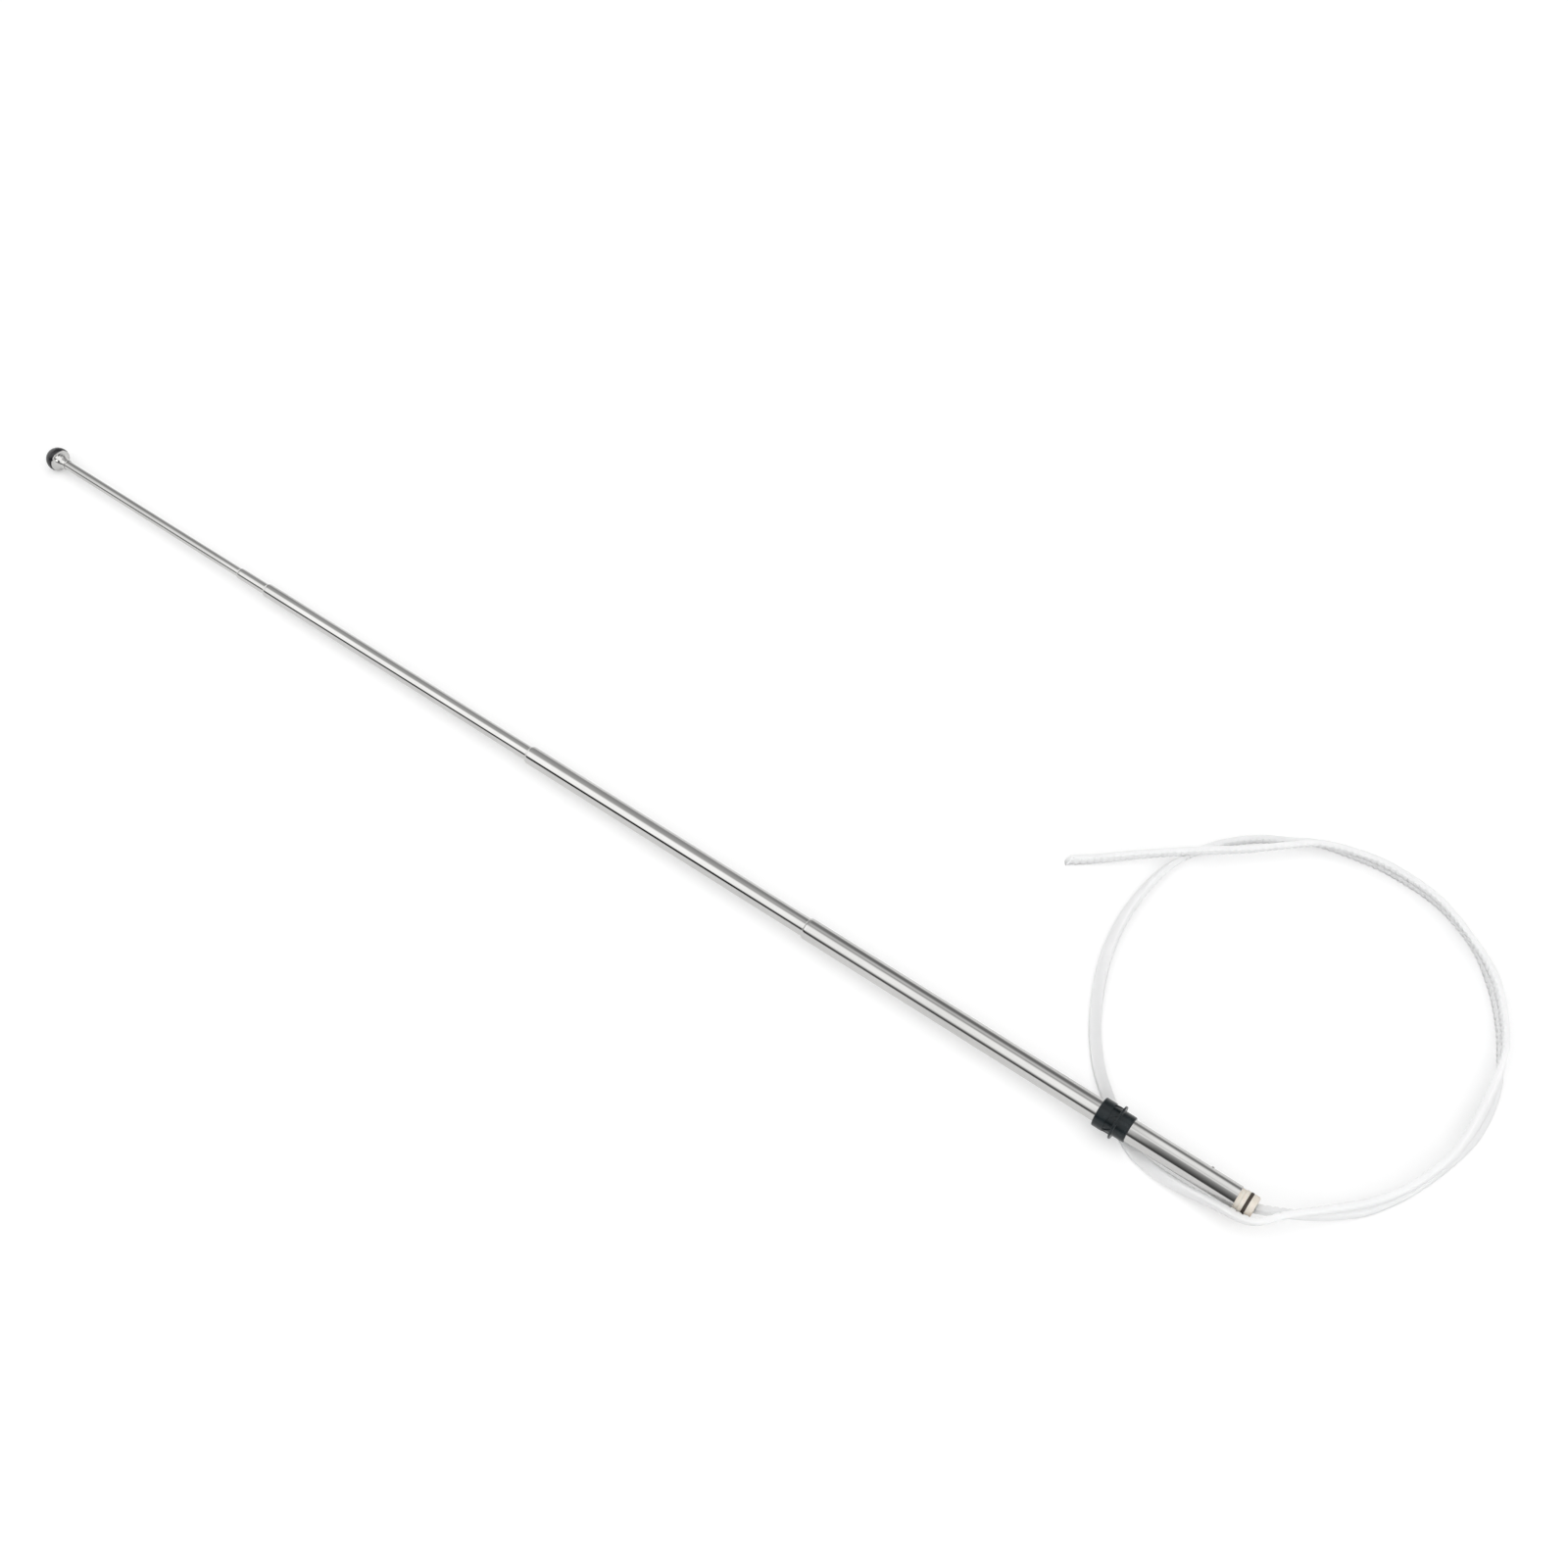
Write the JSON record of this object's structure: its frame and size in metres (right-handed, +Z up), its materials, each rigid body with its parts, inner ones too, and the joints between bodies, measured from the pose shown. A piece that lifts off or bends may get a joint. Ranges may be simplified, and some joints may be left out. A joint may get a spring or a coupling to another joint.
{
  "type": "telescoping car antenna mast",
  "caption": "Telescoping chrome mast of a motor-driven car antenna, with a domed tip, a guide collar, an end bush and its toothed nylon drive cable.",
  "frame": {"origin": "bottom centre of the mast's own box as it lies, without the free cable, on the surface that it rests on", "axes": "+X along the mast towards the tip, which lies 0.42 degrees low, +Z up; the free cable's loops lie on the -Y side"},
  "size_m": [0.7881, 0.1988, 0.019],
  "materials": {
    "chrome": "polished chrome plate",
    "tip_plastic": "glossy black",
    "collar_plastic": "satin black moulded nylon",
    "bush_plastic": "satin cream moulded nylon",
    "ring_rubber": "matt dark brown rubber",
    "cable_nylon": "translucent white nylon",
    "foot_brass": "turned brass",
    "spring_bronze": "rolled phosphor bronze strip",
    "pin_steel": "drawn steel"
  },
  "bodies": {
    "base": {"base_tube": "chrome", "end_bush": "bush_plastic", "end_ring": "ring_rubber", "inner_cable": "cable_nylon", "drive_cable": "cable_nylon"},
    "collar": {"guide_collar": "collar_plastic"},
    "section_4": {"tube_4": "chrome", "foot_4": "foot_brass", "spring_4": "spring_bronze"},
    "section_3": {"tube_3": "chrome", "foot_3": "foot_brass", "spring_3": "spring_bronze"},
    "section_2": {"tube_2": "chrome", "foot_2": "foot_brass", "spring_2": "spring_bronze"},
    "section_1": {"top_rod": "chrome", "foot_1": "foot_brass", "spring_1": "spring_bronze", "cable_pin": "pin_steel", "tip_bell": "chrome", "tip_cap": "tip_plastic"}
  },
  "joints": [
    {"name": "section_4_slide", "type": "slide", "parent": "base", "child": "section_4", "axis": [1, 0, -0.0073], "range_m": [-0.159, 0.012], "deforming": ["inner_cable"]},
    {"name": "section_3_slide", "type": "slide", "parent": "section_4", "child": "section_3", "axis": [1, 0, -0.0073], "range_m": [-0.1705, 0], "deforming": ["inner_cable"]},
    {"name": "section_2_slide", "type": "slide", "parent": "section_3", "child": "section_2", "axis": [1, 0, -0.0073], "range_m": [-0.015, 0.154], "deforming": ["inner_cable"]},
    {"name": "section_1_slide", "type": "slide", "parent": "section_2", "child": "section_1", "axis": [1, 0, -0.0073], "range_m": [-0.1245, 0.0415], "deforming": ["inner_cable"]},
    {"name": "collar_slide", "type": "slide", "parent": "base", "child": "collar", "axis": [1, 0, -0.0073], "range_m": [-0.008, 0.15]}
  ]
}
